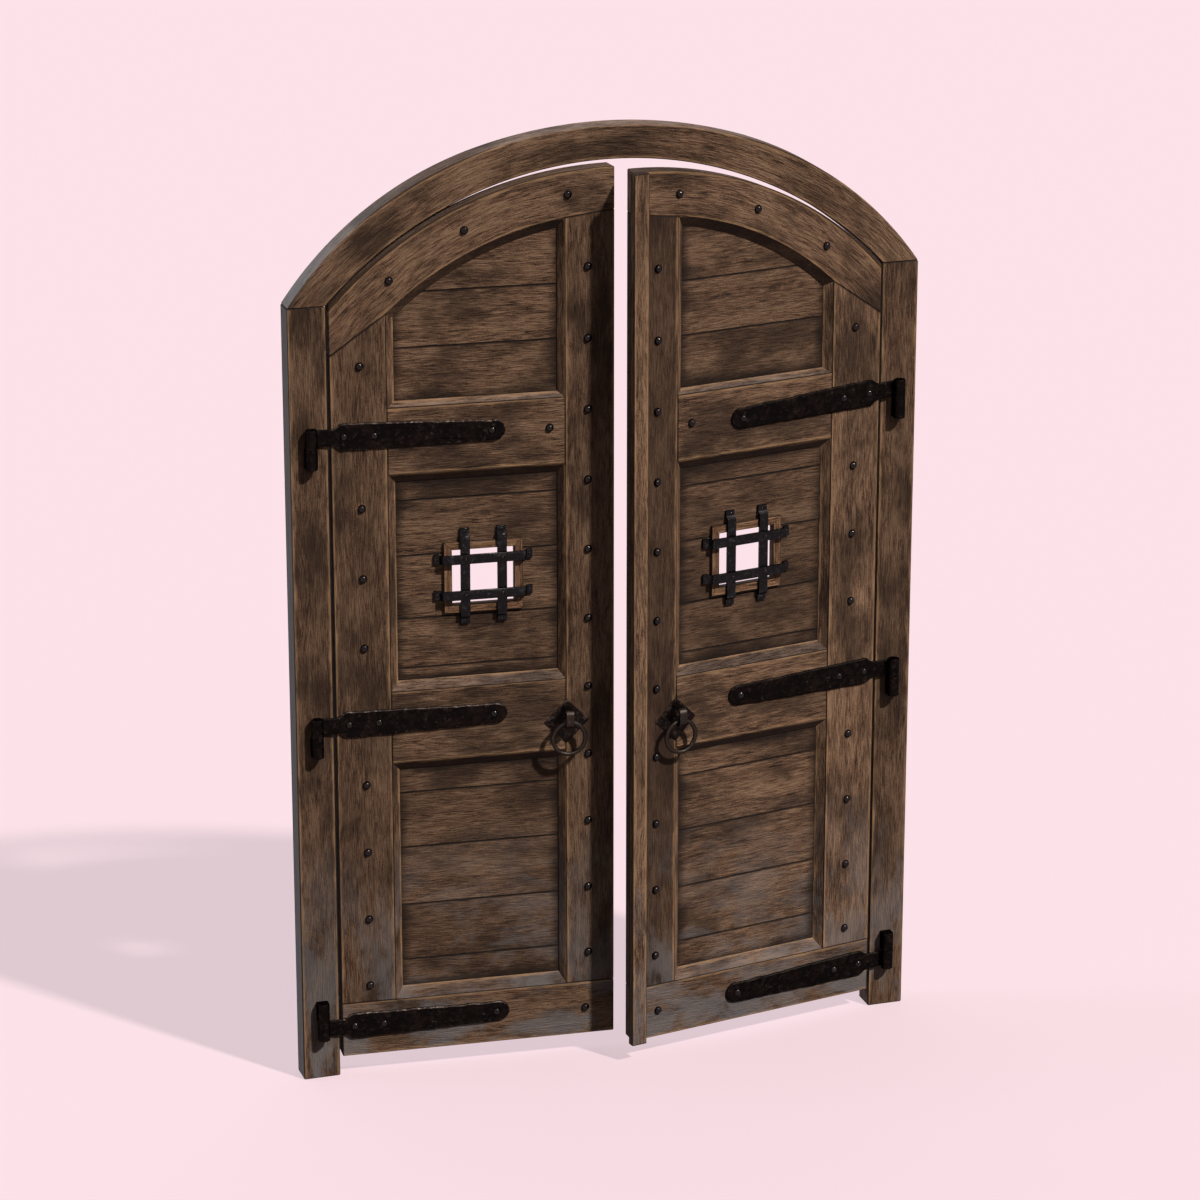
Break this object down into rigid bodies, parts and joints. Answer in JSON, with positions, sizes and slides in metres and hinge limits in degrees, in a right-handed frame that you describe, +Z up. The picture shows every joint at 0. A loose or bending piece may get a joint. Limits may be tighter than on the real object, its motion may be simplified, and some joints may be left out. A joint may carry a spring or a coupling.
{
  "type": "arched double door",
  "caption": "Arched double-leaf oak door in its frame, with board panels, strap hinges on pintles, small barred windows and ring handles.",
  "frame": {"origin": "on the floor, midway between the posts, in the plane of the frame's front face", "axes": "+X to the viewer's right, +Y into the wall, +Z up; the leaves open towards -Y"},
  "size_m": [1.958, 0.3045, 2.9],
  "materials": {
    "frame_oak": "weathered, oiled",
    "leaf_oak": "weathered, oiled",
    "board_oak": "weathered, oiled",
    "moulding_oak": "weathered, oiled",
    "trim_oak": "oiled",
    "forged_iron": "blackened, worn edges",
    "nail_iron": "blackened, burnished by wear"
  },
  "bodies": {
    "frame": {"left_post": "frame_oak", "right_post": "frame_oak", "arched_head": "frame_oak", "left_top_pintle": "forged_iron", "left_middle_pintle": "forged_iron", "left_bottom_pintle": "forged_iron", "right_top_pintle": "forged_iron", "right_middle_pintle": "forged_iron", "right_bottom_pintle": "forged_iron", "pintle_washers": "forged_iron", "pintle_nuts": "forged_iron"},
    "left_leaf": {"left_leaf_hinge_stile": "leaf_oak", "left_leaf_meeting_stile": "leaf_oak", "left_leaf_bottom_rail": "leaf_oak", "left_leaf_lock_rail": "leaf_oak", "left_leaf_upper_rail": "leaf_oak", "left_leaf_arched_rail": "leaf_oak", "left_leaf_lower_boards": "board_oak", "left_leaf_lower_mouldings": "moulding_oak", "left_leaf_middle_boards": "board_oak", "left_leaf_middle_mouldings": "moulding_oak", "left_leaf_upper_boards": "board_oak", "left_leaf_upper_mouldings": "moulding_oak", "left_leaf_window_trim": "trim_oak", "left_leaf_grille_uprights": "forged_iron", "left_leaf_grille_crossbars": "forged_iron", "left_leaf_grille_rivets": "forged_iron", "left_leaf_studs": "nail_iron", "left_leaf_top_strap": "forged_iron", "left_leaf_middle_strap": "forged_iron", "left_leaf_bottom_strap": "forged_iron", "left_leaf_strap_rivets": "nail_iron", "left_leaf_ring_plate": "forged_iron", "left_leaf_ring_staple": "forged_iron"},
    "left_ring": {"left_ring": "forged_iron"},
    "right_leaf": {"right_leaf_hinge_stile": "leaf_oak", "right_leaf_meeting_stile": "leaf_oak", "right_leaf_bottom_rail": "leaf_oak", "right_leaf_lock_rail": "leaf_oak", "right_leaf_upper_rail": "leaf_oak", "right_leaf_arched_rail": "leaf_oak", "right_leaf_lower_boards": "board_oak", "right_leaf_lower_mouldings": "moulding_oak", "right_leaf_middle_boards": "board_oak", "right_leaf_middle_mouldings": "moulding_oak", "right_leaf_upper_boards": "board_oak", "right_leaf_upper_mouldings": "moulding_oak", "right_leaf_window_trim": "trim_oak", "right_leaf_grille_uprights": "forged_iron", "right_leaf_grille_crossbars": "forged_iron", "right_leaf_grille_rivets": "forged_iron", "right_leaf_studs": "nail_iron", "right_leaf_top_strap": "forged_iron", "right_leaf_middle_strap": "forged_iron", "right_leaf_bottom_strap": "forged_iron", "right_leaf_strap_rivets": "nail_iron", "right_leaf_ring_plate": "forged_iron", "right_leaf_ring_staple": "forged_iron", "right_leaf_cover_strip": "leaf_oak"},
    "right_ring": {"right_ring": "forged_iron"}
  },
  "joints": [
    {"name": "left_leaf_swing", "type": "hinge", "parent": "frame", "child": "left_leaf", "pos_m": [-0.919, -0.02, 1.1394], "axis": [0, 0, -1], "range_deg": [-4.35, 165.65]},
    {"name": "right_leaf_swing", "type": "hinge", "parent": "frame", "child": "right_leaf", "pos_m": [0.919, -0.02, 1.1394], "axis": [0, 0, 1], "range_deg": [-10.84, 159.16]},
    {"name": "left_ring_swing", "type": "hinge", "parent": "left_leaf", "child": "left_ring", "pos_m": [-0.15677, -0.09202, 1.10055], "axis": [-0.9971, 0.0758, 0], "range_deg": [-15, 195]},
    {"name": "right_ring_swing", "type": "hinge", "parent": "right_leaf", "child": "right_ring", "pos_m": [0.16979, -0.17772, 1.10055], "axis": [-0.9822, -0.1881, 0], "range_deg": [-15, 195]}
  ]
}
